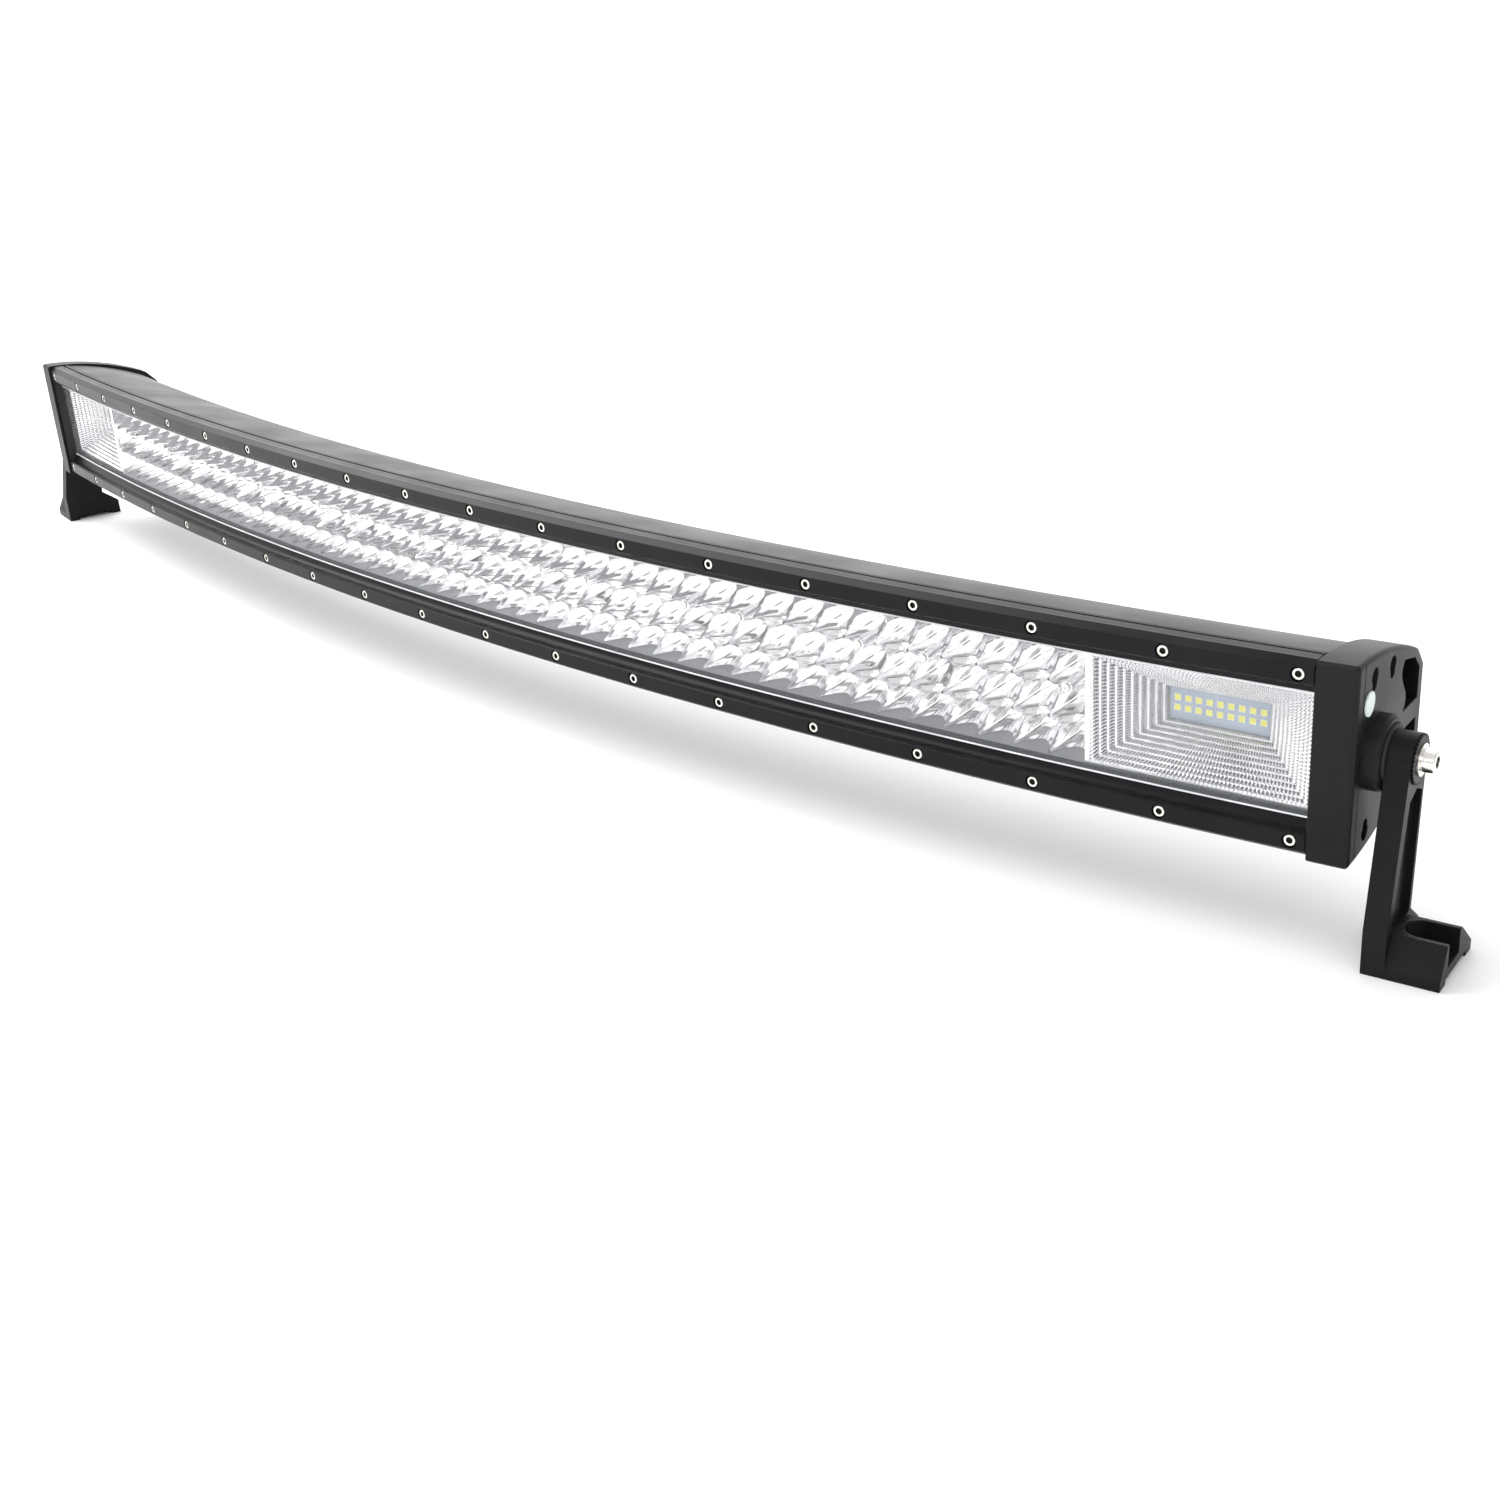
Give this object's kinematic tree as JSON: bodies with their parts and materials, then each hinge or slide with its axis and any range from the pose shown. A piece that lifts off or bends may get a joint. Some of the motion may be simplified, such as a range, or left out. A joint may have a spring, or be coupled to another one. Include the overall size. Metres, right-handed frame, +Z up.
{
  "type": "led light bar",
  "caption": "Curved triple-row LED light bar with square flood modules at its ends, on two pivoting channel brackets with bolt-down feet.",
  "frame": {"origin": "midway between the two foot bolt holes, on the plane that the feet stand on", "axes": "+X along the bar, +Z up out of the feet, the lamp shines towards -Y"},
  "size_m": [1.2586, 0.1338, 0.135],
  "materials": {
    "housing_coat": "satin black powder coat",
    "trim_coat": "satin black powder coat",
    "cap_coat": "satin black powder coat",
    "bracket_coat": "black powder coat, rough on the foot's facet",
    "lens": "clear polycarbonate",
    "rubber": "matt black silicone",
    "small_screws": "stainless steel",
    "cap_screws": "black oxide",
    "bolt_steel": "bright stainless steel",
    "reflector": "metallised plastic",
    "flood_reflector": "metallised plastic, prismatic",
    "led_board": "pale solder mask",
    "led_phosphor": "yellow phosphor",
    "driver_board": "green solder mask",
    "driver_parts": "capacitor cans and coils",
    "wire": "red wire insulation",
    "gland_plastic": "black nylon",
    "vent": "pale membrane"
  },
  "bodies": {
    "lamp": {"housing": "housing_coat", "top_trim_strip": "trim_coat", "bottom_trim_strip": "trim_coat", "left_end_cap": "cap_coat", "right_end_cap": "cap_coat", "lens": "lens", "lens_gasket": "rubber", "left_cap_gasket": "rubber", "right_cap_gasket": "rubber", "left_friction_ring": "rubber", "right_friction_ring": "rubber", "gland_seal": "rubber", "top_trim_screws": "small_screws", "bottom_trim_screws": "small_screws", "reflector_screws": "small_screws", "left_cap_screws": "cap_screws", "right_cap_screws": "cap_screws", "left_pivot_bolt": "bolt_steel", "right_pivot_bolt": "bolt_steel", "left_flat_washer": "bolt_steel", "right_flat_washer": "bolt_steel", "left_toothed_washer": "bracket_coat", "right_toothed_washer": "bracket_coat", "spot_reflector_1": "reflector", "spot_reflector_2": "reflector", "spot_reflector_3": "reflector", "spot_reflector_4": "reflector", "spot_reflector_5": "reflector", "spot_reflector_6": "reflector", "spot_reflector_7": "reflector", "spot_reflector_8": "reflector", "left_flood_reflector": "flood_reflector", "right_flood_reflector": "flood_reflector", "spot_boards": "led_board", "left_flood_board": "led_board", "right_flood_board": "led_board", "spot_leds": "led_phosphor", "left_flood_leds": "led_phosphor", "right_flood_leds": "led_phosphor", "driver_boards": "driver_board", "driver_parts": "driver_parts", "wiring_harness": "wire", "gland_body": "gland_plastic", "gland_nut": "gland_plastic", "breather_vent": "vent"},
    "left_bracket": {"left_bracket": "bracket_coat"},
    "right_bracket": {"right_bracket": "bracket_coat"}
  },
  "joints": [
    {"name": "left_tilt", "type": "hinge", "parent": "lamp", "child": "left_bracket", "pos_m": [-0.59777, 0.00543, 0.0905], "axis": [-0.9848, 0.1736, 0], "continuous": true},
    {"name": "right_tilt", "type": "hinge", "parent": "lamp", "child": "right_bracket", "pos_m": [0.59777, 0.00543, 0.0905], "axis": [0.9848, 0.1736, 0], "continuous": true}
  ]
}
